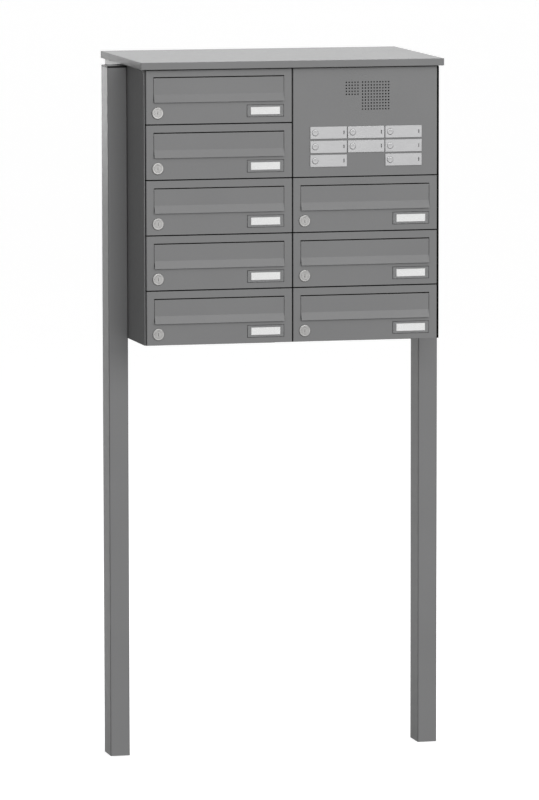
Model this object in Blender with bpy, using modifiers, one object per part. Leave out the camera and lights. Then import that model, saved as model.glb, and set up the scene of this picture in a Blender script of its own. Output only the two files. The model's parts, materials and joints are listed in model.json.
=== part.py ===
"""Cluster mailbox unit: eight letterboxes and a doorbell panel in one cabinet on two posts.

Metres, +Z up. The doors face -Y and +X is to the right of someone who faces them. The origin is
on the ground, under the middle of the unit.

Everything on the front is placed from one grid. A module is 300 x 110 mm. Inside a module, u runs
right from its left grid line, d runs back from the door faces, and z runs down from its top line.
"""

from math import cos, pi, radians, sin

import bmesh
import bpy
from mathutils import Matrix, Vector

MM = 0.001

# Grid of the front
MODULE_W = 300 * MM
MODULE_H = 110 * MM
ROWS = 5
GAP = 2.5 * MM
CABINET_CLEARANCE = 850 * MM
GRID_TOP = CABINET_CLEARANCE + ROWS * MODULE_H - GAP / 2
PANEL_ROWS = 2
TOP_TRIM = 1.6 * MM

# Cabinet and roof
CABINET_DEPTH = 355 * MM
CASING = 1.5 * MM
CASING_HALF_W = 302.5 * MM
CASING_SETBACK = 0.8 * MM
ROOF_HALF_W = 310.5 * MM
ROOF_OVERHANG = 12 * MM
ROOF_DEPTH = 371 * MM
ROOF_LIP = 14.5 * MM
ROOF_LIP_BOTTOM = -0.7 * MM
ROOF_RISE = 5 * MM
FRONT_Y = ROOF_OVERHANG - ROOF_DEPTH / 2
TOUCH = 0.3 * MM
TINY = 0.01 * MM

# Inner racks
RACK_FRONT = 24 * MM
RACK_WALL = 1.2 * MM
SHELF = 1.0 * MM
CATCH_REACH = 14 * MM

# Posts
POST_W = 40 * MM
POST_D = 60 * MM
POST_WALL = 2.5 * MM
POST_CORNER = 3 * MM
POST_CENTRE_D = 179 * MM
POST_TOP = GRID_TOP - 4.5 * MM
POST_FOOT = 6 * MM
CAP_TOP = GRID_TOP - 0.7 * MM
CAP_PLATE = 3.5 * MM
CAP_PLUG_DEPTH = 18 * MM

# Doors
SHEET = 1.5 * MM
BEND = 2.4 * MM
DOOR_DEPTH = 20 * MM
HINGE_U = MODULE_W - GAP / 2 - 10.25 * MM
HINGE_D = 5.5 * MM
HINGE_PIN = 2.0 * MM
HINGE_BORE = 2.3 * MM
EAR_RADIUS = 3.6 * MM
EAR_SHEET = 1.5 * MM

# Mail flaps
SLOT_LEFT = 16.7 * MM
SLOT_TOP = -15.6 * MM
SLOT_BOTTOM = -62.5 * MM
FLAP_LEFT = 17.6 * MM
FLAP_TOP = -17.8 * MM
FLAP_BEND = -50.4 * MM
FLAP_BOTTOM = -65.8 * MM
FLAP_KICK = 5.5 * MM
FLAP_AXIS_D = 4.5 * MM
FLAP_AXIS_Z = -20.5 * MM
FLAP_PIN = 1.5 * MM
FLAP_BORE = 1.9 * MM
BRACKET_U = 11 * MM

# Locks
LOCK_U = 25 * MM
LOCK_Z = -87 * MM
LOCK_RADIUS = 7.6 * MM
LOCK_HOLE = 7.9 * MM
LOCK_PROUD = 2.4 * MM
CAM_D = 28 * MM
CAM_SHEET = 2 * MM
CAM_HALF_W = 7 * MM
CAM_REACH = 17.4 * MM

# Name plates
NAME_PLATE_U = 207.6 * MM
NAME_PLATE_W = 74.4 * MM
NAME_PLATE_TOP = -73.5 * MM
NAME_PLATE_H = 23.5 * MM
NAME_PLATE_THICK = 2 * MM
LABEL_W = 60.2 * MM
LABEL_H = 15.4 * MM
LABEL_POCKET = 0.6 * MM

# Intercom panel
PANEL_DEPTH = RACK_FRONT - TOUCH
GRILLE_PITCH = 6 * MM
GRILLE_HOLE = 1.6 * MM
GRILLE_TOP = -31.9 * MM
MICROPHONE_U = 111.2 * MM
MICROPHONE_COUNT = 5
SPEAKER_U = 144.7 * MM
SPEAKER_COUNT = 10
BELL_U = 36.6 * MM
BELL_PITCH_U = 77.4 * MM
BELL_W = 75.3 * MM
BELL_TOP = -119.5 * MM
BELL_PITCH_Z = 28 * MM
BELL_H = 24.3 * MM
BELL_THICK = 1.7 * MM
BELL_PLACES = [(0, 0), (1, 0), (2, 0), (0, 1), (1, 1), (2, 1), (0, 2), (2, 2)]
BUTTON_INSET = 10 * MM
BUTTON_RADIUS = 6 * MM
BUTTON_HOLE = 6.4 * MM
BUTTON_PROUD = 1.2 * MM

LEFT_COLUMN = -MODULE_W
RIGHT_COLUMN = 0.0

PARTS = "cluster_mailbox_unit"
HELPERS = "cutters_and_joined_shapes"


def clear_scene():
    for obj in list(bpy.data.objects):
        bpy.data.objects.remove(obj, do_unlink=True)
    for name in (PARTS, HELPERS):
        bpy.context.scene.collection.children.link(bpy.data.collections.new(name))


def make_material(name, grey, roughness, metallic):
    """A Principled material; grey is one linear value or an (r, g, b) colour."""
    colour = grey if isinstance(grey, tuple) else (grey, grey, grey)
    material = bpy.data.materials.new(name)
    material.use_nodes = True
    shader = material.node_tree.nodes["Principled BSDF"]
    shader.inputs["Base Color"].default_value = (*colour, 1.0)
    shader.inputs["Roughness"].default_value = roughness
    shader.inputs["Metallic"].default_value = metallic
    return material


# ---------------------------------------------------------------- mesh makers


def mesh_of(bm, name):
    mesh = bpy.data.meshes.new(name)
    bm.to_mesh(mesh)
    bm.free()
    return mesh


def block(low, high):
    """A box between two corners."""
    low, high = Vector(low), Vector(high)
    bm = bmesh.new()
    bmesh.ops.create_cube(bm, size=1.0)
    place = Matrix.Translation((low + high) / 2) @ Matrix.Diagonal((*(high - low), 1.0))
    bmesh.ops.transform(bm, matrix=place, verts=bm.verts)
    return mesh_of(bm, "block")


def pan_block(low, high):
    """A block whose front left edge is rounded, as a folded sheet is."""
    bm = bmesh.new()
    bm.from_mesh(block(low, high))
    reach = low[0] + low[1] + TINY
    front_left = [e for e in bm.edges if all(v.co.x + v.co.y < reach for v in e.verts)]
    bmesh.ops.bevel(bm, geom=front_left, offset=BEND, segments=5, profile=0.5, affect="EDGES")
    return mesh_of(bm, "pan_block")


def rods(ends, radius, sides):
    """Round rods of one radius, each between a pair of points, in one mesh."""
    bm = bmesh.new()
    for start, end in ends:
        start, end = Vector(start), Vector(end)
        along = end - start
        turn = along.to_track_quat("Z", "Y").to_matrix().to_4x4()
        bmesh.ops.create_cone(
            bm,
            cap_ends=True,
            segments=sides,
            radius1=radius,
            radius2=radius,
            depth=along.length,
            matrix=Matrix.Translation((start + end) / 2) @ turn,
        )
    return mesh_of(bm, "rods")


PLANES = {
    "XY": Matrix.Identity(4),
    "YZ": Matrix(((0, 0, 1, 0), (1, 0, 0, 0), (0, 1, 0, 0), (0, 0, 0, 1))),
    "XZ": Matrix(((1, 0, 0, 0), (0, 0, -1, 0), (0, 1, 0, 0), (0, 0, 0, 1))),
}


def outline(points, plane, start, end):
    """A flat outline in the named plane, extruded from start to end along the third axis."""
    curve = bpy.data.curves.new("outline", "CURVE")
    curve.dimensions = "2D"
    curve.fill_mode = "BOTH"
    curve.extrude = abs(end - start) / 2
    spline = curve.splines.new("POLY")
    spline.use_cyclic_u = True
    spline.points.add(len(points) - 1)
    for point, (across, up) in zip(spline.points, points):
        point.co = (across, up, 0.0, 1.0)
    guide = bpy.data.objects.new("outline", curve)
    bpy.context.scene.collection.objects.link(guide)
    mesh = bpy.data.meshes.new_from_object(guide.evaluated_get(evaluated_graph()))
    bpy.data.objects.remove(guide)
    middle = (start + end) / 2
    if plane == "XZ":
        middle = -middle
    mesh.transform(PLANES[plane] @ Matrix.Translation((0, 0, middle)))
    bm = bmesh.new()
    bm.from_mesh(mesh)
    bmesh.ops.remove_doubles(bm, verts=bm.verts, dist=0.00001)
    bmesh.ops.recalc_face_normals(bm, faces=bm.faces)
    bm.to_mesh(mesh)
    bm.free()
    return mesh


def turned(profile, sides):
    """A turned shape about the Y axis. The profile holds (radius, depth), front to back."""
    bm = bmesh.new()
    ring = [bm.verts.new((radius, 0.0, -depth)) for radius, depth in profile]
    for first, second in zip(ring, ring[1:]):
        bm.edges.new((first, second))
    guide = bpy.data.objects.new("profile", mesh_of(bm, "profile"))
    bpy.context.scene.collection.objects.link(guide)
    screw = guide.modifiers.new("turn", "SCREW")
    screw.axis = "Z"
    screw.steps = sides
    screw.render_steps = sides
    screw.use_merge_vertices = True
    screw.merge_threshold = 0.00001
    mesh = bpy.data.meshes.new_from_object(guide.evaluated_get(evaluated_graph()))
    bpy.data.objects.remove(guide)
    mesh.transform(Matrix.Rotation(pi / 2, 4, "X"))
    return mesh


def arc(centre, radius, start, end, steps):
    """Points along an arc, from one angle to another, in degrees."""
    angles = [radians(start + (end - start) * step / steps) for step in range(steps + 1)]
    return [(centre[0] + radius * cos(a), centre[1] + radius * sin(a)) for a in angles]


def rounded_rectangle(centre, width, height, radius, steps):
    half_w = width / 2 - radius
    half_h = height / 2 - radius
    points = []
    for quarter, (side_x, side_y) in enumerate(((1, 1), (-1, 1), (-1, -1), (1, -1))):
        corner = (centre[0] + side_x * half_w, centre[1] + side_y * half_h)
        points += arc(corner, radius, quarter * 90, quarter * 90 + 90, steps)
    return points


# ------------------------------------------------------------- object makers


def evaluated_graph():
    bpy.context.view_layer.update()
    return bpy.context.evaluated_depsgraph_get()


def helper(mesh, name):
    obj = bpy.data.objects.new(name, mesh)
    obj.hide_render = True
    obj.display_type = "WIRE"
    bpy.data.collections[HELPERS].objects.link(obj)
    return obj


def part(name, mesh, material, joined=(), cut=(), location=(0, 0, 0)):
    """A named part: its mesh, what is welded to it and what is cut out of it."""
    obj = bpy.data.objects.new(name, mesh)
    obj.location = location
    if not mesh.materials:
        mesh.materials.append(material)
    bpy.data.collections[PARTS].objects.link(obj)
    for operation, meshes in (("UNION", joined), ("DIFFERENCE", cut)):
        for index, shape in enumerate(meshes):
            modifier = obj.modifiers.new(f"{operation.lower()}_{index}", "BOOLEAN")
            modifier.operation = operation
            modifier.object = helper(shape, f"{name}.{operation.lower()}_{index}")
    return obj


def baked(mesh, material, pivot, joined=(), cut=()):
    """One mesh from a shape with its joined and cut shapes, measured from its pivot."""
    obj = part("blank", mesh, material, joined, cut)
    result = bpy.data.meshes.new_from_object(obj.evaluated_get(evaluated_graph()))
    for modifier in obj.modifiers:
        bpy.data.objects.remove(modifier.object)
    bpy.data.objects.remove(obj)
    result.transform(Matrix.Translation(-Vector(pivot)))
    return result


def smooth(mesh, degrees):
    mesh.shade_smooth()
    mesh.set_sharp_from_angle(angle=radians(degrees))


def module_origin(column, row):
    return Vector((column, FRONT_Y, GRID_TOP - row * MODULE_H))


# --------------------------------------------------------------------- casing


def add_shell(material):
    """Folded casing: two sides, back, floor, ceiling and a strip over the doors."""
    floor_z = GRID_TOP - ROWS * MODULE_H + GAP / 2
    ceiling_z = GRID_TOP + 0.8 * MM
    high_z = GRID_TOP + 30 * MM
    half = CASING_HALF_W
    back = FRONT_Y + CABINET_DEPTH
    front = FRONT_Y + CASING_SETBACK
    left = block((-half, front, floor_z), (-half + CASING, back, high_z))
    right = block((half - CASING, front, floor_z), (half, back, high_z))
    rear = block((-half, back - CASING, floor_z), (half, back, high_z))
    floor = block((-half, FRONT_Y + RACK_FRONT, floor_z), (half, back, floor_z + CASING))
    ceiling = block((-half, front, ceiling_z), (half, back, ceiling_z + CASING))
    strip = block((-half, front, ceiling_z), (half, front + CASING, high_z))
    under_roof = roof_outline(-TOUCH - SHEET, 60 * MM)
    above = outline(under_roof, "YZ", -half - 10 * MM, half + 10 * MM)
    part("cabinet_shell", left, material, (right, rear, floor, ceiling, strip), (above,))


def roof_outline(lift, height, inset=0.0):
    """Side outline of the sloped roof plane, lifted by lift and height tall."""
    front = -ROOF_DEPTH / 2 + inset
    rear = ROOF_DEPTH / 2 - inset
    top = GRID_TOP + ROOF_LIP_BOTTOM + ROOF_LIP + lift
    slope = ROOF_RISE / ROOF_DEPTH
    front_z = top + inset * slope
    rear_z = top + (ROOF_DEPTH - inset) * slope
    low, high = sorted((0.0, height))
    return [(front, front_z + low), (rear, rear_z + low), (rear, rear_z + high), (front, front_z + high)]


def add_roof(material):
    """Sloped sheet with lips turned down along all four edges."""
    outer = outline(roof_outline(0.0, -ROOF_LIP), "YZ", -ROOF_HALF_W, ROOF_HALF_W)
    inner_half = ROOF_HALF_W - SHEET
    inner = outline(roof_outline(-SHEET, -2 * ROOF_LIP, SHEET), "YZ", -inner_half, inner_half)
    part("roof", outer, material, cut=(inner,))


def shelf_lines(column):
    """Heights of the horizontal sheets below the top grid line, without top and bottom."""
    first = PANEL_ROWS if column == RIGHT_COLUMN else 1
    return [-row * MODULE_H for row in range(first, ROWS)]


def rack_walls(column):
    """Left and right wall of a column, each as a pair of x values."""
    outer = MODULE_W + 0.7 * MM
    if column == LEFT_COLUMN:
        return (-outer, RACK_WALL - outer), (-TOUCH - RACK_WALL, -TOUCH)
    return (TOUCH, TOUCH + RACK_WALL), (outer - RACK_WALL, outer)


def hinge_ear(column, row, depth_below):
    """Flat hook from the right wall to the hinge axis, with a round end."""
    origin = module_origin(column, row)
    pivot = (origin.x + HINGE_U, FRONT_Y + HINGE_D)
    wall_x = rack_walls(column)[1][1]
    rear = FRONT_Y + RACK_FRONT + 6 * MM
    points = arc(pivot, EAR_RADIUS, 180, 360, 8)
    points += [(pivot[0] + EAR_RADIUS, FRONT_Y + RACK_FRONT), (wall_x, FRONT_Y + RACK_FRONT)]
    points += [(wall_x, rear), (pivot[0] - EAR_RADIUS, rear)]
    top = origin.z - depth_below
    return outline(points, "XY", top - EAR_SHEET, top)


def add_rack(name, column, rows, material):
    """Walls, shelves, hinge ears and lock catch of one column of compartments."""
    (left_a, left_b), (right_a, right_b) = rack_walls(column)
    front = FRONT_Y + RACK_FRONT
    back = FRONT_Y + CABINET_DEPTH - CASING - TOUCH
    low = GRID_TOP - ROWS * MODULE_H + GAP / 2 + CASING + TOUCH
    high = GRID_TOP + SHELF / 2
    left = block((left_a, front, low), (left_b, back, high))
    joined = [block((right_a, front, low), (right_b, back, high))]
    for middle in [0.0, *shelf_lines(column)]:
        z = GRID_TOP + middle
        joined.append(block((left_a, front, z - SHELF / 2), (right_b, back, z + SHELF / 2)))
    joined.append(block((left_a, front, low), (right_b, back, low + SHELF)))
    catch_top = GRID_TOP - rows[0] * MODULE_H
    catch = block((left_a, front, low), (column + CATCH_REACH, front + RACK_WALL, catch_top))
    joined.append(catch)
    pins = []
    for row in rows:
        inset = GAP / 2 + SHEET + TOUCH
        ear_top = inset + (TOP_TRIM if row == 0 else 0.0)
        ear_low = MODULE_H - inset - EAR_SHEET
        joined += [hinge_ear(column, row, ear_top), hinge_ear(column, row, ear_low)]
        origin = module_origin(column, row)
        x, y = origin.x + HINGE_U, FRONT_Y + HINGE_D
        pins.append(((x, y, origin.z - ear_top + MM), (x, y, origin.z - ear_top - 3 * MM)))
        pins.append(((x, y, origin.z - ear_low + MM), (x, y, origin.z - ear_low - 3 * MM)))
    part(name, left, material, joined, (rods(pins, HINGE_BORE, 12),))


# ---------------------------------------------------------------------- posts


def add_post(name, side, material):
    """Rectangular tube with a welded closing plate at the foot, and its top cap."""
    centre = (side * (CASING_HALF_W + TOUCH + POST_W / 2), FRONT_Y + POST_CENTRE_D)
    outer = rounded_rectangle(centre, POST_W, POST_D, POST_CORNER, 4)
    bore_w = POST_W - 2 * POST_WALL
    bore_d = POST_D - 2 * POST_WALL
    inner = rounded_rectangle(centre, bore_w, bore_d, POST_CORNER - POST_WALL, 2)
    tube = outline(outer, "XY", 0.0, POST_TOP)
    bore = outline(inner, "XY", POST_FOOT, POST_TOP + 10 * MM)
    part(name, tube, material[0], cut=(bore,))
    plug_w = bore_w - 2 * TOUCH
    plug_d = bore_d - 2 * TOUCH
    plug = rounded_rectangle(centre, plug_w, plug_d, POST_CORNER - POST_WALL, 2)
    plate = outline(outer, "XY", CAP_TOP - CAP_PLATE, CAP_TOP)
    stem = outline(plug, "XY", POST_TOP - CAP_PLUG_DEPTH, CAP_TOP - CAP_PLATE / 2)
    part(f"{name}_cap", plate, material[1], (stem,))


# ---------------------------------------------------------- letterbox fronts


def door_mesh(material, trim=0.0):
    """Shallow pan with no edge on the hinge side, a mail slot, flap brackets and hinge pins."""
    low_u, high_u = GAP / 2, MODULE_W - GAP / 2
    low_z, high_z = GAP / 2 - MODULE_H, -GAP / 2 - trim
    pan = pan_block((low_u, 0, low_z), (high_u, DOOR_DEPTH, high_z))
    hollow = block(
        (low_u + SHEET, SHEET, low_z + SHEET),
        (high_u + 10 * MM, DOOR_DEPTH + 10 * MM, high_z - SHEET),
    )
    slot = block((SLOT_LEFT, -5 * MM, SLOT_BOTTOM), (MODULE_W - SLOT_LEFT, 10 * MM, SLOT_TOP))
    lock_hole = rods([((LOCK_U, -5 * MM, LOCK_Z), (LOCK_U, 5 * MM, LOCK_Z))], LOCK_HOLE, 20)
    axis = Vector((0, FLAP_AXIS_D, FLAP_AXIS_Z))
    brackets = []
    bores = []
    for near in (BRACKET_U, MODULE_W - BRACKET_U - 2 * MM):
        low = (near, SHEET - 0.5 * MM, FLAP_AXIS_Z - 5.5 * MM)
        high = (near + 2 * MM, FLAP_AXIS_D + 4 * MM, FLAP_AXIS_Z + 5.5 * MM)
        brackets.append(block(low, high))
        out = Vector((near, 0, 0)) + axis
        bores.append((out - Vector((2 * MM, 0, 0)), out + Vector((4 * MM, 0, 0))))
    pin_length = 5 * MM
    top_pin = high_z - SHEET / 2
    low_pin = low_z + SHEET / 2
    pins = [
        ((HINGE_U, HINGE_D, top_pin), (HINGE_U, HINGE_D, top_pin - pin_length)),
        ((HINGE_U, HINGE_D, low_pin), (HINGE_U, HINGE_D, low_pin + pin_length)),
    ]
    joined = [*brackets, rods(pins[:1], HINGE_PIN, 12), rods(pins[1:], HINGE_PIN, 12)]
    cut = (hollow, slot, lock_hole, rods(bores, FLAP_BORE, 12))
    return cut_then_joined(pan, material, cut, joined, (HINGE_U, HINGE_D, 0))


def cut_then_joined(mesh, material, cut, joined, pivot):
    """The large cuts first, then the welded pieces, then the last cut through them."""
    opened = baked(mesh, material, (0, 0, 0), cut=cut[:-1])
    return baked(opened, material, pivot, joined=joined, cut=cut[-1:])


def flap_mesh(material):
    """Sheet that kicks outward along its lower edge, with an ear and a pin at each end."""
    kick = Vector((-FLAP_KICK, FLAP_BOTTOM - FLAP_BEND)).normalized()
    inward = Vector((-kick.y, kick.x)) * SHEET
    tip = Vector((-FLAP_KICK, FLAP_BOTTOM))
    inner_tip = tip + inward
    to_bend = (SHEET - inner_tip.x) / -kick.x
    inner_bend = inner_tip - kick * to_bend
    profile = [(0, FLAP_TOP), (0, FLAP_BEND), tip, inner_tip, inner_bend, (SHEET, FLAP_TOP)]
    far = MODULE_W - FLAP_LEFT
    sheet = outline([tuple(point) for point in profile], "YZ", FLAP_LEFT, far)
    joined = []
    pin_reach = BRACKET_U - 1.5 * MM
    for side, inner in ((FLAP_LEFT, FLAP_LEFT + 2 * MM), (far, far - 2 * MM)):
        low = (min(side, inner), SHEET / 2, FLAP_AXIS_Z - 3 * MM)
        high = (max(side, inner), FLAP_AXIS_D + 3 * MM, FLAP_TOP)
        joined.append(block(low, high))
        outer = pin_reach if side == FLAP_LEFT else MODULE_W - pin_reach
        middle = (side + inner) / 2
        ends = ((middle, FLAP_AXIS_D, FLAP_AXIS_Z), (outer, FLAP_AXIS_D, FLAP_AXIS_Z))
        joined.append(rods([ends], FLAP_PIN, 10))
    return baked(sheet, material, (0, FLAP_AXIS_D, FLAP_AXIS_Z), joined)


def lock_mesh(material):
    """Lock cylinder with a key slot, and the cam on its inner end."""
    edge = 0.5 * MM
    profile = [
        (0, -LOCK_PROUD),
        (LOCK_RADIUS - edge, -LOCK_PROUD),
        (LOCK_RADIUS, edge - LOCK_PROUD),
        (LOCK_RADIUS, CAM_D),
        (0, CAM_D),
    ]
    core = turned(profile, 20)
    smooth(core, 40)
    reach = CAM_REACH - CAM_HALF_W
    stadium = arc((0, 0), CAM_HALF_W, 0, 180, 8) + arc((0, -reach), CAM_HALF_W, 180, 360, 8)
    cam = outline(stadium, "XZ", CAM_D - MM, CAM_D + CAM_SHEET)
    slot = block((-0.8 * MM, -5 * MM, -4 * MM), (0.8 * MM, 1.5 * MM, 4 * MM))
    return baked(core, material, (0, 0, 0), (cam,), (slot,))


def name_plate_mesh(material):
    """Clear cover with a pocket behind it for the paper label."""
    left = NAME_PLATE_U
    low_z = NAME_PLATE_TOP - NAME_PLATE_H
    corners = rounded_rectangle(
        (left + NAME_PLATE_W / 2, NAME_PLATE_TOP - NAME_PLATE_H / 2),
        NAME_PLATE_W,
        NAME_PLATE_H,
        1.5 * MM,
        3,
    )
    cover = outline(corners, "XZ", -TOUCH - NAME_PLATE_THICK, -TOUCH)
    side = (NAME_PLATE_W - LABEL_W) / 2
    rim = (NAME_PLATE_H - LABEL_H) / 2
    pocket = block(
        (left + side, -TOUCH - LABEL_POCKET, low_z + rim),
        (left + side + LABEL_W, 5 * MM, low_z + rim + LABEL_H),
    )
    return baked(cover, material, (left, 0, NAME_PLATE_TOP), cut=(pocket,))


def add_letterboxes(materials):
    """Door, flap, lock and name plate of each letterbox. The top door is trimmed to clear the roof."""
    pivots = {
        "door": Vector((HINGE_U, HINGE_D, 0)),
        "flap": Vector((0, FLAP_AXIS_D, FLAP_AXIS_Z)),
        "lock": Vector((LOCK_U, 0, LOCK_Z)),
        "name_plate": Vector((NAME_PLATE_U, 0, NAME_PLATE_TOP)),
    }
    makers = {
        "door": door_mesh,
        "flap": flap_mesh,
        "lock": lock_mesh,
        "name_plate": name_plate_mesh,
    }
    top_door = door_mesh(materials["door"], TOP_TRIM)
    for kind, maker in makers.items():
        mesh = maker(materials[kind])
        for column_name, column, first in (("left", LEFT_COLUMN, 0), ("right", RIGHT_COLUMN, PANEL_ROWS)):
            for row in range(first, ROWS):
                name = f"{kind}_{column_name}_{row + 1}"
                place = module_origin(column, row) + pivots[kind]
                shape = top_door if (kind, row) == ("door", 0) else mesh
                part(name, shape, materials[kind], location=place)


# ------------------------------------------------------------- intercom panel


def grille_rods(first_u, count):
    """Hole axes of one square grille."""
    origin = module_origin(RIGHT_COLUMN, 0)
    ends = []
    for across in range(count):
        for down in range(count):
            x = origin.x + first_u + across * GRILLE_PITCH
            z = origin.z + GRILLE_TOP - down * GRILLE_PITCH
            ends.append(((x, FRONT_Y - 5 * MM, z), (x, FRONT_Y + 5 * MM, z)))
    return ends


def grille_centre(first_u, count):
    half = (count - 1) * GRILLE_PITCH / 2
    return module_origin(RIGHT_COLUMN, 0) + Vector((first_u + half, 0, GRILLE_TOP - half))


def bell_corner(place):
    """Top left corner of a bell plate, on the panel's face."""
    across, down = place
    shift = Vector((BELL_U + across * BELL_PITCH_U, 0, BELL_TOP - down * BELL_PITCH_Z))
    return module_origin(RIGHT_COLUMN, 0) + shift


def add_panel(material):
    """Front of the upper right bay: a pan with two hole grilles and eight button holes."""
    skin = 2 * MM
    origin = module_origin(RIGHT_COLUMN, 0)
    low = origin + Vector((GAP / 2, 0, GAP / 2 - PANEL_ROWS * MODULE_H))
    high = origin + Vector((MODULE_W - GAP / 2, PANEL_DEPTH, -GAP / 2 - TOP_TRIM))
    pan = pan_block(low, high)
    edge = Vector((SHEET, 0, SHEET))
    hollow = block(low + edge + Vector((0, skin, 0)), high - edge + Vector((0, 10 * MM, 0)))
    buttons = []
    for place in BELL_PLACES:
        middle = bell_corner(place) + Vector((BUTTON_INSET, 0, -BELL_H / 2))
        buttons.append((middle - Vector((0, 5 * MM, 0)), middle + Vector((0, 5 * MM, 0))))
    holes = grille_rods(MICROPHONE_U, MICROPHONE_COUNT) + grille_rods(SPEAKER_U, SPEAKER_COUNT)
    cut = (hollow, rods(holes, GRILLE_HOLE, 8), rods(buttons, BUTTON_HOLE, 16))
    part("intercom_panel", pan, material, cut=cut)


def add_sounders(material):
    """Loudspeaker and microphone capsule, against the back of the panel's skin."""
    back = 2 * MM + TOUCH
    speaker = [(0, 7), (7, 7), (27, 3), (29.5, 0), (33, 0), (33, 2), (29, 3), (19, 11), (19, 20), (0, 20)]
    capsule = [(0, 0), (14, 0), (14, 6), (10, 6), (10, 10), (0, 10)]
    pieces = (
        ("loudspeaker", speaker, SPEAKER_U, SPEAKER_COUNT),
        ("microphone", capsule, MICROPHONE_U, MICROPHONE_COUNT),
    )
    for name, profile, first_u, count in pieces:
        mesh = turned([(radius * MM, depth * MM) for radius, depth in profile], 24)
        smooth(mesh, 30)
        place = grille_centre(first_u, count) + Vector((0, back, 0))
        part(name, mesh, material, location=place)


def add_bells(plate_material, button_material):
    """Brushed name and button plates, and the push buttons in them."""
    plate = block((0, -TOUCH - BELL_THICK, -BELL_H), (BELL_W, -TOUCH, 0))
    middle_z = -BELL_H / 2
    hole = rods([((BUTTON_INSET, -5 * MM, middle_z), (BUTTON_INSET, 5 * MM, middle_z))], BUTTON_HOLE, 20)
    slit_u = BELL_W - 6 * MM
    slit = block(
        (slit_u - MM, -5 * MM, middle_z - 3.5 * MM),
        (slit_u + MM, -TOUCH - BELL_THICK / 2, middle_z + 3.5 * MM),
    )
    plate_mesh = baked(plate, plate_material, (0, 0, 0), cut=(hole, slit))
    front = -TOUCH - BELL_THICK - BUTTON_PROUD
    flange = 2 * MM + TOUCH
    profile = [
        (0, front),
        (BUTTON_RADIUS - 0.6 * MM, front),
        (BUTTON_RADIUS, front + 0.6 * MM),
        (BUTTON_RADIUS, flange),
        (BUTTON_RADIUS + 1.5 * MM, flange),
        (BUTTON_RADIUS + 1.5 * MM, flange + 1.5 * MM),
        (3 * MM, flange + 1.5 * MM),
        (3 * MM, flange + 4 * MM),
        (0, flange + 4 * MM),
    ]
    button_mesh = turned(profile, 20)
    smooth(button_mesh, 40)
    for index, place in enumerate(BELL_PLACES, start=1):
        corner = bell_corner(place)
        part(f"bell_plate_{index}", plate_mesh, plate_material, location=corner)
        middle = corner + Vector((BUTTON_INSET, 0, middle_z))
        part(f"bell_button_{index}", button_mesh, button_material, location=middle)


def main():
    clear_scene()
    coat = {
        name: make_material(name, grey, 0.45, 0.0)
        for name, grey in (
            ("shell_coat", 0.19),
            ("roof_coat", 0.21),
            ("post_coat", 0.18),
            ("door_coat", 0.21),
            ("flap_coat", 0.22),
            ("panel_coat", 0.21),
        )
    }
    zinc = make_material("zinc_sheet", 0.42, 0.4, 1.0)
    chrome = make_material("nickel_lock", 0.6, 0.25, 1.0)
    brushed = make_material("brushed_plate", 0.62, 0.35, 1.0)
    button = make_material("bell_button", 0.6, 0.3, 1.0)
    clear = make_material("clear_cover", 0.8, 0.1, 0.0)
    black = make_material("black_plastic", 0.02, 0.5, 0.0)
    cap = make_material("cap_plastic", 0.03, 0.5, 0.0)

    add_shell(coat["shell_coat"])
    add_roof(coat["roof_coat"])
    add_rack("left_rack", LEFT_COLUMN, range(ROWS), zinc)
    add_rack("right_rack", RIGHT_COLUMN, range(PANEL_ROWS, ROWS), zinc)
    add_post("left_post", -1, (coat["post_coat"], cap))
    add_post("right_post", 1, (coat["post_coat"], cap))
    add_letterboxes(
        {
            "door": coat["door_coat"],
            "flap": coat["flap_coat"],
            "lock": chrome,
            "name_plate": clear,
        }
    )
    add_panel(coat["panel_coat"])
    add_sounders(black)
    add_bells(brushed, button)


main()
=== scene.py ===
"""Looks of the cluster mailbox unit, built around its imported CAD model.

Metres, in the CAD model's frame: the doors face -Y, +X is to the right of someone who faces them,
and the origin is on the ground under the middle of the unit. Every place below is worked out from
the boxes of the CAD nodes and from the axes of their joints.
"""

import json
from math import cos, pi, radians, sin

import bmesh
import bpy
from mathutils import Euler, Matrix, Vector


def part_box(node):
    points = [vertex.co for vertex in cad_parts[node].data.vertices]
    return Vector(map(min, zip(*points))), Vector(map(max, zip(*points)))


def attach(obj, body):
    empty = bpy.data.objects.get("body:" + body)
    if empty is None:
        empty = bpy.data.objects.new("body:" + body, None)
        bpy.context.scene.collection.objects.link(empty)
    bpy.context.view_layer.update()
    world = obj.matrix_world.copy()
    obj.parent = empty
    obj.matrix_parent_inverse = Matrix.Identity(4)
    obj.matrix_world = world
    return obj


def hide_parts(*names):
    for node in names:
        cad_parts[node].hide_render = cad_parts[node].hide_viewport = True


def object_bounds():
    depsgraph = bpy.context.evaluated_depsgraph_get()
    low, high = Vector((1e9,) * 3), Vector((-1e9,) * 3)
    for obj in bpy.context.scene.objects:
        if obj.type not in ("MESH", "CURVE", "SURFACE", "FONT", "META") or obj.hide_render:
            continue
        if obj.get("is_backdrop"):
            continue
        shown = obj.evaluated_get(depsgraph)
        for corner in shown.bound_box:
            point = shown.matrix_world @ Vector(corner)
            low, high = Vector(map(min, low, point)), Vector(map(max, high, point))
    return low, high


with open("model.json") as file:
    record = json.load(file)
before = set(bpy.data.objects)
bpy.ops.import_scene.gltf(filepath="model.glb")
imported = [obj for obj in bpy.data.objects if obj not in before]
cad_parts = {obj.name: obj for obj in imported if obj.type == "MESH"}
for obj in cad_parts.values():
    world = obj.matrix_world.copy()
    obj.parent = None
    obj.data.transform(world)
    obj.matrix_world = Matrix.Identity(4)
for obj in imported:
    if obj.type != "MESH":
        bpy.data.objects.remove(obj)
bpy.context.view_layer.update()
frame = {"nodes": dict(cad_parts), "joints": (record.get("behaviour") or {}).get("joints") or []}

MM = 0.001
NODES = frame["nodes"]
AXES = {joint["name"]: Vector(joint.get("pos_m") or (0, 0, 0)) for joint in frame["joints"]}
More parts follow.
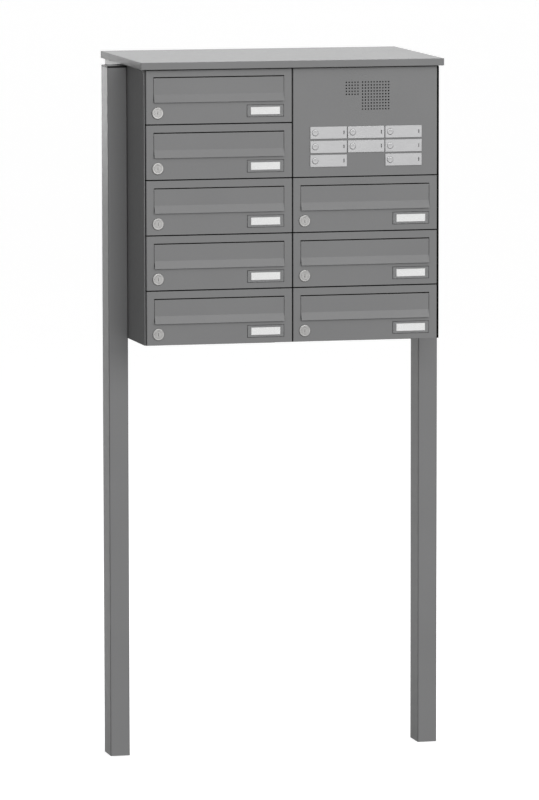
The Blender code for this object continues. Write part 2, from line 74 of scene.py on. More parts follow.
BOXES = sorted(name.removeprefix("door_") for name in NODES if name.startswith("door_"))
BELLS = sorted(name.removeprefix("bell_plate_") for name in NODES if name.startswith("bell_plate_"))

# Sheet and trim
SHEET = 1.5 * MM
GAP = 2.5 * MM
RACK_FRONT = 24 * MM

# Grey coats, as linear values
COAT = 0.205
COAT_ROUGHNESS = 0.4

# Locks. Depths are from the door's outer face, and CAM_SPAN lies between the centres of the cam's round ends.
LOCK_RADIUS = 7.6 * MM
LOCK_PLAY = 0.12 * MM
LOCK_FACE = -2.4 * MM
ROSETTE_RADIUS = 11.8 * MM
SLEEVE_BORE = LOCK_RADIUS + 0.2 * MM
THREAD_ROOT = 9.2 * MM
THREAD_CREST = 9.7 * MM
THREAD_PITCH = 1.1 * MM
THREAD_TURNS = 18
SLEEVE_END = 23.5 * MM
CAM_FRONT = 28 * MM
CAM_BACK = 30 * MM
CAM_HALF_WIDTH = 7 * MM
CAM_SPAN = 10.4 * MM

# Camera and stage
CAMERA_PLACE = Vector((-2.7752, -10.9862, 2.0269))
CAMERA_YAW = radians(14.168)
CAMERA_PITCH = radians(6.611)
CAMERA_ROLL = radians(0.091)
CAMERA_LENS = 252.8
STAGE_HALF = 40.0
FLOOR_TONE = 0.45
FLOOR_GLOW = 0.78
KEY_RADIANCE = 3.1
TOP_RADIANCE = 3.8
RIM_RADIANCE = 3.6
RIM_LOW_RADIANCE = 1.5
SURROUND_SIDE = 0.22
SURROUND_FRONT = 1.0
SURROUND_BACK = 1.3
SURROUND_BELOW = 0.6

# The surround's bright part lies along REAR. A fade is a range of one part of the direction's unit vector.
REAR = (0.27, 0.96, 0.08)
REAR_FADE = (0.85, 0.97)
FRONT_FADE = (-0.9, -0.2)
BELOW_FADE = (-0.25, 0.1)


# ------------------------------------------------------------- material nodes


def add_node(tree, kind, values=None, links=None, **settings):
    """A node with its settings, its constant inputs and its linked inputs."""
    made = tree.nodes.new(kind)
    for key, value in settings.items():
        setattr(made, key, value)
    for key, value in (values or {}).items():
        made.inputs[key].default_value = value
    for key, source in (links or {}).items():
        tree.links.new(source, made.inputs[key])
    return made


def new_material(name, metallic=0.0):
    """A material with its node tree and its shader."""
    material = bpy.data.materials.new(name)
    material.use_nodes = True
    tree = material.node_tree
    shader = tree.nodes["Principled BSDF"]
    shader.inputs["Metallic"].default_value = metallic
    return material, tree, shader


def noise(tree, scale, detail=2.0, stretch=(1, 1, 1)):
    """Noise in the object's own metres; scale is features per metre."""
    place = add_node(tree, "ShaderNodeTexCoord").outputs["Object"]
    mapped = add_node(tree, "ShaderNodeMapping", {"Scale": stretch}, {"Vector": place})
    links = {"Vector": mapped.outputs["Vector"]}
    return add_node(tree, "ShaderNodeTexNoise", {"Scale": scale, "Detail": detail}, links).outputs["Fac"]


def spread(tree, source, low, high, source_low=0.3, source_high=0.7):
    """A value moved from its own range to low..high."""
    values = {"From Min": source_low, "From Max": source_high, "To Min": low, "To Max": high}
    return add_node(tree, "ShaderNodeMapRange", values, {"Value": source}).outputs["Result"]


def times(tree, first, second):
    """Two values multiplied."""
    made = add_node(tree, "ShaderNodeMath", operation="MULTIPLY")
    tree.links.new(first, made.inputs[0])
    tree.links.new(second, made.inputs[1])
    return made.outputs["Value"]


def edge_mask(tree, radius):
    """1 on edges sharper than the radius, 0 on flat areas."""
    rounded = add_node(tree, "ShaderNodeBevel", {"Radius": radius}, samples=4).outputs["Normal"]
    plain = add_node(tree, "ShaderNodeNewGeometry").outputs["Normal"]
    dot = add_node(tree, "ShaderNodeVectorMath", operation="DOT_PRODUCT")
    tree.links.new(rounded, dot.inputs[0])
    tree.links.new(plain, dot.inputs[1])
    return spread(tree, dot.outputs["Value"], 1.0, 0.0, 0.8, 0.995)


def tinted(tree, colour, factor):
    """A colour made lighter or darker by a factor."""
    made = add_node(tree, "ShaderNodeVectorMath", {0: colour}, {"Scale": factor}, operation="SCALE")
    return made.outputs["Vector"]


def mixed(tree, factor, first, second):
    """From the first colour to the second, as the factor goes from 0 to 1."""
    made = add_node(tree, "ShaderNodeMix", {7: (*second, 1.0)}, {0: factor, 6: first}, data_type="RGBA")
    return made.outputs[2]


def bumped(tree, shader, *layers):
    """Bump layers, each a height, a depth in metres and a strength."""
    normal = None
    for height, depth, strength in layers:
        links = {"Height": height}
        if normal:
            links["Normal"] = normal
        made = add_node(tree, "ShaderNodeBump", {"Distance": depth, "Strength": strength}, links)
        normal = made.outputs["Normal"]
    tree.links.new(normal, shader.inputs["Normal"])


def powder_coat(name, grey=COAT, roughness=COAT_ROUGHNESS, wear_and_highlight_radius=0.9 * MM):
    """Satin powder coat: mica speckle, orange peel, uneven gloss, and edges painted paler, partly as rubbing
    of the coat and partly as a painted highlight.
    """
    material, tree, shader = new_material(name)
    speckle = noise(tree, 2400, 1)
    tone = times(
        tree,
        spread(tree, noise(tree, 7, 3), 0.975, 1.025),
        spread(tree, speckle, 0.94, 1.06),
    )
    # Paler edges: partly rubbing of the coat, partly a painted highlight where light would catch the rounded
    # edges.
    worn_and_highlit = times(tree, edge_mask(tree, wear_and_highlight_radius), spread(tree, noise(tree, 140, 4), 0.35, 0.8))
    cool = (grey, grey * 1.003, grey * 1.012)
    colour = mixed(tree, worn_and_highlit, tinted(tree, cool, tone), (grey * 1.9,) * 3)
    tree.links.new(colour, shader.inputs["Base Color"])
    tree.links.new(
        spread(tree, noise(tree, 90, 4), roughness - 0.02, roughness + 0.025),
        shader.inputs["Roughness"],
    )
    bumped(
        tree,
        shader,
        (noise(tree, 650, 2), 0.05 * MM, 0.35),
        (speckle, 0.015 * MM, 0.25),
    )
    return material


def brushed_steel(name, value, roughness):
    """Steel brushed along X: long fine scratches in colour, gloss and bump."""
    material, tree, shader = new_material(name, metallic=1.0)
    lines = noise(tree, 5200, 3, (0.012, 1, 1))
    soft = noise(tree, 30, 3)
    tone = times(tree, spread(tree, lines, 0.93, 1.07), spread(tree, soft, 0.98, 1.02))
    tree.links.new(tinted(tree, (value, value, value * 1.01), tone), shader.inputs["Base Color"])
    tree.links.new(spread(tree, lines, roughness - 0.06, roughness + 0.08), shader.inputs["Roughness"])
    bumped(tree, shader, (lines, 0.01 * MM, 0.3))
    shader.inputs["Anisotropic"].default_value = 0.5
    return material


def nickel(name, value, roughness):
    """Satin nickel plating with turning marks and handling smudges."""
    material, tree, shader = new_material(name, metallic=1.0)
    marks = noise(tree, 1800, 4)
    smudge = noise(tree, 160, 3)
    tone = spread(tree, smudge, 0.95, 1.03)
    tree.links.new(tinted(tree, (value, value * 0.99, value * 0.975), tone), shader.inputs["Base Color"])
    tree.links.new(spread(tree, smudge, roughness - 0.05, roughness + 0.1), shader.inputs["Roughness"])
    bumped(tree, shader, (marks, 0.01 * MM, 0.25))
    return material


def moulded(name, grey, roughness, specular, grain=1500):
    """Moulded plastic or rubber with a fine grain and dusty, uneven gloss."""
    material, tree, shader = new_material(name)
    shader.inputs["Specular IOR Level"].default_value = specular
    dust = noise(tree, 60, 4)
    fine = noise(tree, grain, 3)
    tone = times(tree, spread(tree, dust, 0.9, 1.12), spread(tree, fine, 0.93, 1.07))
    tree.links.new(tinted(tree, (grey, grey, grey), tone), shader.inputs["Base Color"])
    tree.links.new(spread(tree, dust, roughness - 0.08, roughness + 0.08), shader.inputs["Roughness"])
    bumped(tree, shader, (fine, 0.04 * MM, 0.5))
    return material


def paper(name):
    """White label paper: faint fibres and a slightly uneven surface."""
    material, tree, shader = new_material(name)
    fibres = noise(tree, 3000, 3, (0.3, 1, 1))
    tone = times(tree, spread(tree, fibres, 0.97, 1.02), spread(tree, noise(tree, 60, 2), 0.98, 1.01))
    tree.links.new(tinted(tree, (0.93, 0.93, 0.925), tone), shader.inputs["Base Color"])
    tree.links.new(spread(tree, fibres, 0.75, 0.9), shader.inputs["Roughness"])
    bumped(tree, shader, (fibres, 0.02 * MM, 0.4))
    return material


def acrylic(name):
    """Clear cover: thin film of gloss with fine hairlines, and its rim painted dark as a painted shadow line
    round the cover.
    """
    material, tree, shader = new_material(name)
    hairs = noise(tree, 900, 4, (0.2, 1, 1))
    # The edge mask paints the rim dark and nearly opaque: a painted shadow line round the cover.
    edges = edge_mask(tree, 1.0 * MM)
    clear = tinted(tree, (0.86, 0.88, 0.89), spread(tree, hairs, 0.97, 1.03))
    tree.links.new(mixed(tree, edges, clear, (0.05, 0.05, 0.055)), shader.inputs["Base Color"])
    tree.links.new(spread(tree, hairs, 0.05, 0.12), shader.inputs["Roughness"])
    tree.links.new(spread(tree, edges, 0.03, 0.75, 0, 1), shader.inputs["Alpha"])
    bumped(tree, shader, (hairs, 0.004 * MM, 0.2))
    return material


# --------------------------------------------------------------- mesh helpers


def new_piece(name, mesh, material, body, place=(0, 0, 0)):
    """A new piece that rides on a body and takes its finish from a slot."""
    obj = bpy.data.objects.new(name, mesh)
    obj.location = place
    mesh.materials.append(material)
    bpy.context.scene.collection.objects.link(obj)
    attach(obj, body)
    return obj


def mesh_from(bm):
    """The bmesh as a mesh with its faces turned outward."""
    bmesh.ops.recalc_face_normals(bm, faces=bm.faces)
    mesh = bpy.data.meshes.new("shape")
    bm.to_mesh(mesh)
    bm.free()
    return mesh


def joined(*shapes, smooth_angle=35):
    """Several shapes in one mesh, smooth across shallow angles."""
    bm = bmesh.new()
    for shape in shapes:
        bm.from_mesh(shape)
    mesh = bpy.data.meshes.new("piece")
    bm.to_mesh(mesh)
    bm.free()
    mesh.shade_smooth()
    mesh.set_sharp_from_angle(angle=radians(smooth_angle))
    return mesh


def lathe(profile, sides, place=(0, 0, 0)):
    """A solid turned about the Y axis. The profile is a closed loop of (radius, depth)."""
    bm = bmesh.new()
    ring = [bm.verts.new((radius, depth, 0.0)) for radius, depth in profile]
    edges = [bm.edges.new(pair) for pair in zip(ring, ring[1:] + ring[:1])]
    bmesh.ops.spin(bm, geom=ring + edges, angle=2 * pi, steps=sides, axis=(0, 1, 0), cent=(0, 0, 0))
    bmesh.ops.remove_doubles(bm, verts=bm.verts, dist=0.002 * MM)
    bmesh.ops.dissolve_degenerate(bm, dist=0.001 * MM, edges=bm.edges)
    bmesh.ops.delete(bm, geom=[e for e in bm.edges if not e.link_faces], context="EDGES")
    bmesh.ops.translate(bm, vec=Vector(place), verts=bm.verts)
    return mesh_from(bm)


def block(low, high, bevel, segments=2):
    """A box between two corners with rounded edges."""
    low, high = Vector(low), Vector(high)
    bm = bmesh.new()
    bmesh.ops.create_cube(bm, size=1.0)
    matrix = Matrix.Translation((low + high) / 2) @ Matrix.Diagonal((*(high - low), 1))
    bmesh.ops.transform(bm, matrix=matrix, verts=bm.verts)
    bmesh.ops.bevel(bm, geom=bm.edges[:], offset=bevel, segments=segments, profile=0.5, affect="EDGES")
    return mesh_from(bm)


def prism(points, front, back, bevel):
    """An outline in the XZ plane from one depth to another, with rounded rims."""
    bm = bmesh.new()
    face = bm.faces.new([bm.verts.new((x, front, z)) for x, z in points])
    made = bmesh.ops.extrude_face_region(bm, geom=[face])["geom"]
    moved = [v for v in made if isinstance(v, bmesh.types.BMVert)]
    bmesh.ops.translate(bm, vec=(0, back - front, 0), verts=moved)
    rims = [e for e in bm.edges if abs(e.verts[0].co.y - e.verts[1].co.y) < 0.001 * MM]
    bmesh.ops.bevel(bm, geom=rims, offset=bevel, segments=2, profile=0.5, affect="EDGES")
    return mesh_from(bm)


def arc(centre, radius, start, end, steps):
    """Points along an arc, from one angle to another, in degrees."""
    angles = [radians(start + (end - start) * step / steps) for step in range(steps + 1)]
    return [(centre[0] + radius * cos(a), centre[1] + radius * sin(a)) for a in angles]


def hexagon(radius):
    """The six corners of a nut or a bolt's head."""
    return arc((0, 0), radius, 0, 300, 5)


def bead(points, radius):
    """A round bar along a list of points, with closed ends."""
    curve = bpy.data.curves.new("bead", "CURVE")
    curve.dimensions = "3D"
    curve.bevel_depth = radius
    curve.bevel_resolution = 3
    curve.use_fill_caps = True
    spline = curve.splines.new("POLY")
    spline.points.add(len(points) - 1)
    for point, place in zip(spline.points, points):
        point.co = (*place, 1.0)
    guide = bpy.data.objects.new("bead", curve)
    bpy.context.scene.collection.objects.link(guide)
    mesh = bpy.data.meshes.new_from_object(guide.evaluated_get(bpy.context.evaluated_depsgraph_get()))
    bpy.data.objects.remove(guide)
    bm = bmesh.new()
    bm.from_mesh(mesh)
    bmesh.ops.remove_doubles(bm, verts=bm.verts, dist=0.001 * MM)
    return mesh_from(bm)


def cut(mesh, *cutters):
    """The mesh less each of the cutters."""
    obj = bpy.data.objects.new("blank", mesh)
    bpy.context.scene.collection.objects.link(obj)
    tools = []
    for shape in cutters:
        tool = bpy.data.objects.new("cutter", shape)
        bpy.context.scene.collection.objects.link(tool)
        modifier = obj.modifiers.new("cut", "BOOLEAN")
        modifier.object = tool
        tools.append(tool)
    bpy.context.view_layer.update()
    result = bpy.data.meshes.new_from_object(obj.evaluated_get(bpy.context.evaluated_depsgraph_get()))
    for used in [obj, *tools]:
        bpy.data.objects.remove(used)
    return result


# ------------------------------------------------------ finish of the CAD nodes


def shading_group(angle):
    """Welds a CAD mesh and shades it smooth, apart from edges sharper than the angle."""
    tree = bpy.data.node_groups.new(f"shading_{angle}", "GeometryNodeTree")
    tree.interface.new_socket("Geometry", in_out="INPUT", socket_type="NodeSocketGeometry")
    tree.interface.new_socket("Geometry", in_out="OUTPUT", socket_type="NodeSocketGeometry")
    start = add_node(tree, "NodeGroupInput").outputs["Geometry"]
    weld = add_node(tree, "GeometryNodeMergeByDistance", {"Distance": 0.005 * MM}, {"Geometry": start})
    names = {"Name": "custom_normal"}
    plain = add_node(tree, "GeometryNodeRemoveAttribute", names, {"Geometry": weld.outputs["Geometry"]})
    faces = {"Geometry": plain.outputs["Geometry"]}
    smooth = add_node(tree, "GeometryNodeSetShadeSmooth", {"Shade Smooth": True}, faces, domain="FACE")
    edge = add_node(tree, "GeometryNodeInputMeshEdgeAngle").outputs["Unsigned Angle"]
    sharp = add_node(tree, "FunctionNodeCompare", {1: radians(angle)}, {0: edge}, operation="GREATER_THAN")
    links = {"Geometry": smooth.outputs["Geometry"], "Selection": sharp.outputs["Result"]}
    edges = add_node(tree, "GeometryNodeSetShadeSmooth", {"Shade Smooth": False}, links, domain="EDGE")
    add_node(tree, "NodeGroupOutput", None, {"Geometry": edges.outputs["Geometry"]})
    return tree


def finish_node(name, material, group, bevel):
    """A CAD node's finish: its material, its smooth shading and its rounded edges."""
    obj = NODES[name]
    obj.data.materials.clear()
    obj.data.materials.append(material)
    obj.modifiers.new("shading", "NODES").node_group = group
    flat = obj.modifiers.new("flat_faces", "DECIMATE")
    flat.decimate_type = "DISSOLVE"
    flat.angle_limit = radians(0.3)
    edge = obj.modifiers.new("edges", "BEVEL")
    edge.width = bevel
    edge.segments = 2
    edge.limit_method = "ANGLE"
    edge.angle_limit = radians(40)
    edge.harden_normals = True
    even = obj.modifiers.new("flat_shading", "WEIGHTED_NORMAL")
    even.weight = 100
    even.keep_sharp = True


def finish_nodes(materials):
    """Every CAD node that stays in view. The flaps' shallow bend stays crisp."""
    group = shading_group(35)
    crisp = shading_group(8)
    finishes = (
        ("cabinet_shell", "casing_coat", 0.4 * MM),
        ("roof", "roof_coat", 0.9 * MM),
        ("left_post_cap", "cap_plastic", 0.35 * MM),
        ("right_post_cap", "cap_plastic", 0.35 * MM),
        ("left_post", "post_coat", 0.5 * MM),
        ("right_post", "post_coat", 0.5 * MM),
        ("left_rack", "rack_zinc", 0.2 * MM),
        ("right_rack", "rack_zinc", 0.2 * MM),
        ("intercom_panel", "panel_coat", 0.25 * MM),
        ("loudspeaker", "black_plastic", 0.2 * MM),
        ("microphone", "black_plastic", 0.2 * MM),
    )
    for name, slot, bevel in finishes:
        finish_node(name, materials[slot], group, bevel)
    for box in BOXES:
        finish_node(f"door_{box}", materials["door_coat"], group, 0.3 * MM)
        finish_node(f"flap_{box}", materials["flap_coat"], crisp, 0.3 * MM)
        finish_node(f"name_plate_{box}", materials["name_cover"], group, 0.25 * MM)
    for bell in BELLS:
        finish_node(f"bell_plate_{bell}", materials["plate_brushed"], group, 0.3 * MM)


# ------------------------------------------------------------------ new pieces


def lock_housing_mesh():
    """Rosette on the door's face, threaded sleeve through the door, and the nut behind it."""
    hole = LOCK_RADIUS + LOCK_PLAY
    rosette = lathe(
        [
            (hole, -0.1 * MM),
            (hole, LOCK_FACE),
            (hole + 0.1 * MM, -2.5 * MM),
            (ROSETTE_RADIUS - 1.3 * MM, -2.55 * MM),
            (ROSETTE_RADIUS - 0.6 * MM, -2.3 * MM),
            (ROSETTE_RADIUS - 0.15 * MM, -1.7 * MM),
            (ROSETTE_RADIUS, -0.9 * MM),
            (ROSETTE_RADIUS, -0.1 * MM),
        ],
        72,
    )
    sleeve = [(SLEEVE_BORE, SHEET + 0.1 * MM), (THREAD_ROOT, SHEET + 0.1 * MM)]
    for turn in range(THREAD_TURNS):
        start = SHEET + MM + turn * THREAD_PITCH
        sleeve += [(THREAD_ROOT, start), (THREAD_CREST, start + THREAD_PITCH / 2)]
    sleeve += [(THREAD_ROOT, SLEEVE_END), (SLEEVE_BORE, SLEEVE_END)]
    nut_bore = THREAD_CREST + 0.05 * MM
    nut = cut(
        prism(hexagon(13 * MM), SHEET + 0.15 * MM, SHEET + 4.6 * MM, 0.4 * MM),
        lathe([(0, 0), (nut_bore, 0), (nut_bore, 10 * MM), (0, 10 * MM)], 40),
    )
    return joined(rosette, lathe(sleeve, 48), nut, smooth_angle=15)


def lock_core_mesh():
    """The turning part: core with its keyway, the cam on its inner end and the cam's screw."""
    ring = 5.05 * MM
    core = lathe(
        [
            (0, LOCK_FACE),
            (ring - 0.15 * MM, LOCK_FACE),
            (ring, LOCK_FACE + 0.06 * MM),
            (ring + 0.15 * MM, LOCK_FACE),
            (LOCK_RADIUS - LOCK_PLAY, LOCK_FACE),
            (LOCK_RADIUS, LOCK_FACE + LOCK_PLAY),
            (LOCK_RADIUS, CAM_FRONT),
            (0, CAM_FRONT),
        ],
        64,
    )
    keyway = block((-0.4 * MM, -5 * MM, -3.4 * MM), (0.4 * MM, 3 * MM, 3.4 * MM), 0.15 * MM)
    keyway_groove = block((-0.9 * MM, -5 * MM, -0.9 * MM), (0.2 * MM, 3 * MM, 0), 0.12 * MM)
    upper_end = arc((0, 0), CAM_HALF_WIDTH, 0, 180, 16)
    lower_end = arc((0, -CAM_SPAN), CAM_HALF_WIDTH, 180, 360, 16)
    cam = prism(upper_end + lower_end, CAM_FRONT, CAM_BACK, 0.3 * MM)
    screw_head = lathe(
        [
            (0, CAM_BACK + 0.02 * MM),
            (3.5 * MM, CAM_BACK + 0.02 * MM),
            (3.5 * MM, CAM_BACK + 1.2 * MM),
            (2.6 * MM, CAM_BACK + 1.9 * MM),
            (0, CAM_BACK + 2.1 * MM),
        ],
        32,
    )
    return joined(cut(core, keyway, keyway_groove), cam, screw_head, smooth_angle=15)


def add_locks(materials):
    """Lock of each door: a nickel housing fixed to the door, and the core that turns in it."""
    housing = lock_housing_mesh()
    core = lock_core_mesh()
    nickel_finish, core_finish = materials["lock_nickel"], materials["lock_core"]
    for box in BOXES:
        place = AXES[f"lock_{box}_turn"]
        new_piece(f"lock_housing_{box}", housing.copy(), nickel_finish, f"door_{box}", place)
        piece = new_piece(f"lock_core_{box}", core.copy(), core_finish, f"lock_{box}", place)
        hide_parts(f"lock_{box}")


def add_labels(materials):
    """Paper label behind each clear cover, and a thin black rim round the cover, put there as painted shadow
    for the line of shade round it.
    """
    half = Vector((59.4, 0.22, 14.8)) * MM / 2
    inset = 0.3 * MM
    rim, thick = 0.55 * MM, 0.6 * MM
    for box in BOXES:
        low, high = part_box(f"name_plate_{box}")
        middle = (low + high) / 2
        sheet = joined(block(-half, half, 0.06 * MM, 1))
        place = Vector((middle.x, high.y - inset, middle.z))
        new_piece(f"label_{box}", sheet, materials["label_paper"], f"door_{box}", place)
        back = high.y - 0.02 * MM
        front = back - thick
        left, right, bottom, top = low.x - rim, high.x + rim, low.z - rim, high.z + rim
        # Black bars round the cover: a dark rim put where there is only the cover's line of shade.
        bars = (
            block((left, front, bottom), (right, back, low.z), 0.08 * MM),
            block((left, front, high.z), (right, back, top), 0.08 * MM),
            block((left, front, low.z), (low.x, back, high.z), 0.08 * MM),
            block((high.x, front, low.z), (right, back, high.z), 0.08 * MM),
        )
        rubber = materials["seal_rubber"]
        new_piece(f"cover_shade_rim_{box}", joined(*bars), rubber, f"door_{box}")


def add_buttons(materials):
    """Push button of each bell: a dished, turned cap with a flange behind the panel and a stem."""
    radius, flange, stem = 6 * MM, 7.5 * MM, 3 * MM
    for bell in BELLS:
        low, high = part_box(f"bell_button_{bell}")
        middle = (low + high) / 2
        depth = high.y - low.y
        profile = [
            (0, 0.12 * MM),
            (2.4 * MM, 0.1 * MM),
            (4.2 * MM, 0.04 * MM),
            (radius - 0.5 * MM, 0),
            (radius - 0.15 * MM, 0.12 * MM),
            (radius, 0.5 * MM),
            (radius, depth - 4 * MM),
            (flange, depth - 4 * MM),
            (flange, depth - 2.5 * MM),
            (stem, depth - 2.5 * MM),
            (stem, depth),
            (0, depth),
        ]
        place = Vector((middle.x, low.y, middle.z))
        cap = new_piece(
            f"button_cap_{bell}",
            joined(lathe(profile, 56)),
            materials["button_steel"],
            f"bell_button_{bell}",
            place,
        )
        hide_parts(f"bell_button_{bell}")


def add_slot_shades(materials):
    """Black strip at the bottom of the name slot in each bell plate: a dark strip put there as painted shade,
    so the slot reads darker.
    """
    half_width, half_height, from_end = 0.4 * MM, 3.3 * MM, 6 * MM
    for bell in BELLS:
        low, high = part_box(f"bell_plate_{bell}")
        middle_x, middle_z = high.x - from_end, (low.z + high.z) / 2
        shade_strip = block(
            (middle_x - half_width, low.y + 0.45 * MM, middle_z - half_height),
            (middle_x + half_width, high.y - 0.5 * MM, middle_z + half_height),
            0.1 * MM,
        )
        rubber = materials["seal_rubber"]
        new_piece(f"slot_shade_{bell}", joined(shade_strip), rubber, "cabinet")


def add_flap_springs(materials):
    """Torsion spring round each flap pin, between the door's bracket and the flap's ear."""
    wire, coil, length, leg = 0.35 * MM, 2.5 * MM, 3.2 * MM, 9 * MM
    turns, turn_steps = 5, 16
    steel = materials["spring_steel"]
    for box in BOXES:
        axis = AXES[f"flap_{box}_hinge"]
        low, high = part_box(f"flap_{box}")
        shapes = []
        for side, end in ((1, low.x), (-1, high.x)):
            start = end + side * 3.8 * MM
            points = [Vector((start, axis.y + coil, axis.z + leg))]
            for step in range(turns * turn_steps + 1):
                angle = radians(step * 360 / turn_steps)
                along = start + side * length * step / (turns * turn_steps)
                points.append(Vector((along, axis.y + coil * cos(angle), axis.z + coil * sin(angle))))
            shapes.append(bead(points, wire))
        new_piece(f"flap_springs_{box}", joined(*shapes), steel, f"door_{box}")


def add_door_seals(rubber):
    """Bulb seal round three sides of each opening, and a black lip in the gap above its door. The lip is a
    dark sheet put there as painted shade for the deep gap, and the seal sits close behind the gaps so that it
    also darkens them as shade.
    """
    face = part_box("intercom_panel")[0].y
    bulb, lip_inset = 1.5 * MM, 0.4 * MM
    for box in BOXES:
        low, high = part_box(f"door_{box}")
        depth = low.y + 22.2 * MM
        left, right = low.x + 4 * MM, high.x - 30 * MM
        top, bottom = high.z + GAP / 2, low.z - GAP / 2
        run = [(right, top), (left, top), (left, bottom), (right, bottom)]
        points = [Vector((x, depth, z)) for x, z in run]
        # The lip stands in for the shade deep in the gap above the door.
        lip = block(
            (low.x, face + MM, high.z + lip_inset),
            (high.x, face + RACK_FRONT - 0.1 * MM, high.z + GAP - lip_inset),
            0.3 * MM,
        )
        seal = joined(bead(points, bulb), lip)
        new_piece(f"door_seal_{box}", seal, rubber, "cabinet")


def add_gap_strips(rubber):
    """Upright black strips: a channel over the casing's right edge, which shows as a black line there, and a
    fin between the two columns, a dark sheet put in that gap as painted shade.
    """
    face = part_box("intercom_panel")[0].y
    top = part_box("intercom_panel")[1].z
    shell_low, shell_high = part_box("cabinet_shell")
    bottom = shell_low.z
    inner = shell_high.x - SHEET - 0.7 * MM
    outer = shell_high.x + 0.6 * MM
    front = face + 0.2 * MM
    back = face + 9 * MM
    channel = (
        block((inner, face + 0.1 * MM, bottom), (outer, face + 0.75 * MM, top), 0.2 * MM),
        block((inner, front, bottom), (inner + 0.65 * MM, back, top), 0.2 * MM),
        block((outer - 0.55 * MM, front, bottom), (outer, back, top), 0.2 * MM),
    )
    new_piece("edge_strip_right", joined(*channel), rubber, "cabinet")
    # The fin is painted shade: it makes the gap between the columns read black.
    fin_back = face + RACK_FRONT - 0.5 * MM
    fin = block((0.32 * MM, face + 0.8 * MM, bottom), (0.8 * MM, fin_back, top), 0.15 * MM)
    new_piece("gap_shade_fin_centre", joined(fin), rubber, "cabinet")


def add_post_bolts(material):
    """Three bolts a side that hold the cabinet to its posts: hexagon heads on washers."""
    washer, washer_radius = 1.6 * MM, 9 * MM
    head = joined(
        prism(hexagon(7.5 * MM), washer, washer + 5.3 * MM, 0.5 * MM),
        lathe([(0, 0), (washer_radius, 0), (washer_radius, washer), (0, washer)], 40),
    )
    post_low, post_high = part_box("left_post")
    middle_y = (post_low.y + post_high.y) / 2
    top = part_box("intercom_panel")[1].z
    wall_thick = 1.25 * MM
    for side, name in ((-1, "left"), (1, "right")):
        rack_low, rack_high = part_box(f"{name}_rack")
        wall = rack_low.x + wall_thick if side < 0 else rack_high.x - wall_thick
        for index, drop in enumerate((0.16, 0.38, 0.5), start=1):
            mesh = head.copy()
            mesh.transform(Matrix.Rotation(side * pi / 2, 4, "Z"))
            place = Vector((wall, middle_y, top - drop))
            new_piece(f"post_bolt_{name}_{index}", mesh, material, "cabinet", place)


def add_back_rivets(material):
    """Blind rivets down both edges of the back panel."""
    dome = [
        (0, -0.02 * MM),
        (3.2 * MM, -0.02 * MM),
        (2.9 * MM, 0.7 * MM),
        (1.7 * MM, 1.15 * MM),
        (1.5 * MM, 0.8 * MM),
        (0, 0.8 * MM),
    ]
    low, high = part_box("cabinet_shell")
    count = 6
    edge, end = 9 * MM, 30 * MM
    spacing = (high.z - low.z - 2 * end) / (count - 1)
    rivets = []
    for x in (low.x + edge, high.x - edge):
        for step in range(count):
            rivets.append(lathe(dome, 24, (x, high.y, low.z + end + step * spacing)))
    new_piece("back_rivets", joined(*rivets), material, "cabinet")


# ------------------------------------------------------- stage, light, camera


def add_stage():
    """Pale floor. It takes the object's shadow, and the studio's own light stands for its bounce."""
    material, tree, shader = new_material("studio_floor")
    tone = spread(tree, noise(tree, 0.6, 2), 0.985, 1.01)
    tree.links.new(tinted(tree, (FLOOR_TONE,) * 3, tone), shader.inputs["Base Color"])
    shader.inputs["Roughness"].default_value = 0.8
    shader.inputs["Emission Color"].default_value = (1, 1, 1, 1)
    shader.inputs["Emission Strength"].default_value = FLOOR_GLOW
    bm = bmesh.new()
    bmesh.ops.create_grid(bm, x_segments=8, y_segments=8, size=STAGE_HALF)
    floor = bpy.data.objects.new("floor", mesh_from(bm))
    floor.data.materials.append(material)
    floor.visible_diffuse = False
    floor.visible_glossy = False
    bpy.context.scene.collection.objects.link(floor)
    floor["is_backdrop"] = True


def add_softbox(name, place, target, size, radiance):
    """A rectangular soft light that is as bright as its radiance, whatever its size."""
    width, height = size
    light = bpy.data.lights.new(name, "AREA")
    light.shape = "RECTANGLE"
    light.size = width
    light.size_y = height
    light.energy = radiance * pi * width * height
    lamp = bpy.data.objects.new(name, light)
    lamp.location = place
    lamp.rotation_euler = (Vector(target) - Vector(place)).to_track_quat("-Z", "Y").to_euler()
    lamp.visible_camera = False
    bpy.context.scene.collection.objects.link(lamp)


def add_surround():
    """White studio: bright behind to the right, less so in front, dim at the sides, dimmer below."""
    world = bpy.data.worlds.new("studio")
    bpy.context.scene.world = world
    world.use_nodes = True
    tree = world.node_tree
    tree.nodes.clear()
    direction = add_node(tree, "ShaderNodeTexCoord").outputs["Generated"]
    parts = add_node(tree, "ShaderNodeSeparateXYZ", None, {"Vector": direction}).outputs
    rear = add_node(tree, "ShaderNodeVectorMath", {1: REAR}, {0: direction}, operation="DOT_PRODUCT")
    back = spread(tree, rear.outputs["Value"], SURROUND_SIDE, SURROUND_BACK, *REAR_FADE)
    front = spread(tree, parts["Y"], SURROUND_FRONT / SURROUND_SIDE, 1.0, *FRONT_FADE)
    level = spread(tree, parts["Z"], SURROUND_BELOW, 1.0, *BELOW_FADE)
    strength = {"Strength": times(tree, times(tree, back, front), level)}
    lit = add_node(tree, "ShaderNodeBackground", {"Color": (1, 1, 1, 1)}, strength)
    seen = add_node(tree, "ShaderNodeBackground", {"Color": (1, 1, 1, 1), "Strength": 1.0})
    path = add_node(tree, "ShaderNodeLightPath")
    both = add_node(tree, "ShaderNodeMixShader", None, {0: path.outputs["Is Camera Ray"]})
    tree.links.new(lit.outputs[0], both.inputs[1])
    tree.links.new(seen.outputs[0], both.inputs[2])
    add_node(tree, "ShaderNodeOutputWorld", None, {"Surface": both.outputs[0]})


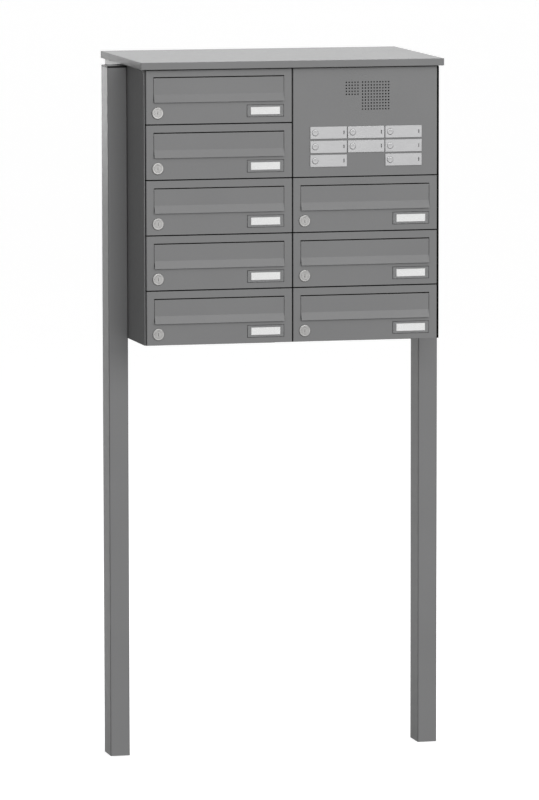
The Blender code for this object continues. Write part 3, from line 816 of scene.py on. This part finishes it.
def add_light():
    """The surround, a large box ahead and to the right, one overhead and two behind on the left."""
    add_surround()
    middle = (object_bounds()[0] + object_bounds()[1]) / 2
    post = Vector((-0.34, 0, 0))
    high, low = Vector((0, 0, 1.75)), Vector((0, 0, 0.5))
    add_softbox("ahead", (1.3, -7.0, 3.6), middle, (5.0, 3.6), KEY_RADIANCE)
    add_softbox("overhead", (0.5, 0.9, 3.6), middle, (3.0, 2.4), TOP_RADIANCE)
    add_softbox("behind_left", (-0.82, 2.9, 1.75), post + high, (0.56, 1.5), RIM_RADIANCE)
    add_softbox("behind_low", (-0.85, 3.0, 0.5), post + low, (0.7, 2.2), RIM_LOW_RADIANCE)


def add_camera():
    """Long lens, from the left and a little above the roof."""
    data = bpy.data.cameras.new("camera")
    data.lens = CAMERA_LENS
    data.clip_end = 4 * STAGE_HALF
    camera = bpy.data.objects.new("camera", data)
    camera.location = CAMERA_PLACE
    camera.rotation_euler = Euler((pi / 2 - CAMERA_PITCH, CAMERA_ROLL, -CAMERA_YAW))
    bpy.context.scene.collection.objects.link(camera)
    bpy.context.scene.camera = camera


def make_materials():
    """Every finish by its name."""
    return {
        "casing_coat": powder_coat("casing_coat"),
        "roof_coat": powder_coat("roof_coat", roughness=0.48),
        "post_coat": powder_coat("post_coat"),
        "door_coat": powder_coat("door_coat"),
        "flap_coat": powder_coat("flap_coat"),
        "panel_coat": powder_coat("panel_coat", wear_and_highlight_radius=0.3 * MM),
        "rack_zinc": powder_coat("rack_coat", 0.24, 0.48),
        "cap_plastic": moulded("cap_plastic", 0.01, 0.4, 0.15),
        "lock_nickel": nickel("lock_nickel", 0.47, 0.3),
        "lock_core": nickel("lock_core", 0.42, 0.36),
        "spring_steel": nickel("spring_steel", 0.5, 0.3),
        "bolt_zinc": nickel("bolt_zinc", 0.5, 0.4),
        "plate_brushed": brushed_steel("plate_brushed", 0.54, 0.42),
        "button_steel": brushed_steel("button_steel", 0.51, 0.42),
        "name_cover": acrylic("name_cover"),
        "label_paper": paper("label_paper"),
        "black_plastic": moulded("black_plastic", 0.008, 0.6, 0.1),
        "seal_rubber": moulded("seal_rubber", 0.006, 0.8, 0.05, grain=900),
    }


def main():
    """The finishes, the pieces, and the stage around them."""
    materials = make_materials()
    finish_nodes(materials)
    add_locks(materials)
    add_labels(materials)
    add_buttons(materials)
    add_slot_shades(materials)
    add_flap_springs(materials)
    add_door_seals(materials["seal_rubber"])
    add_gap_strips(materials["seal_rubber"])
    add_post_bolts(materials["bolt_zinc"])
    add_back_rivets(materials["bolt_zinc"])
    add_stage()
    add_light()
    add_camera()
    bpy.context.scene.view_settings.view_transform = "Standard"


main()
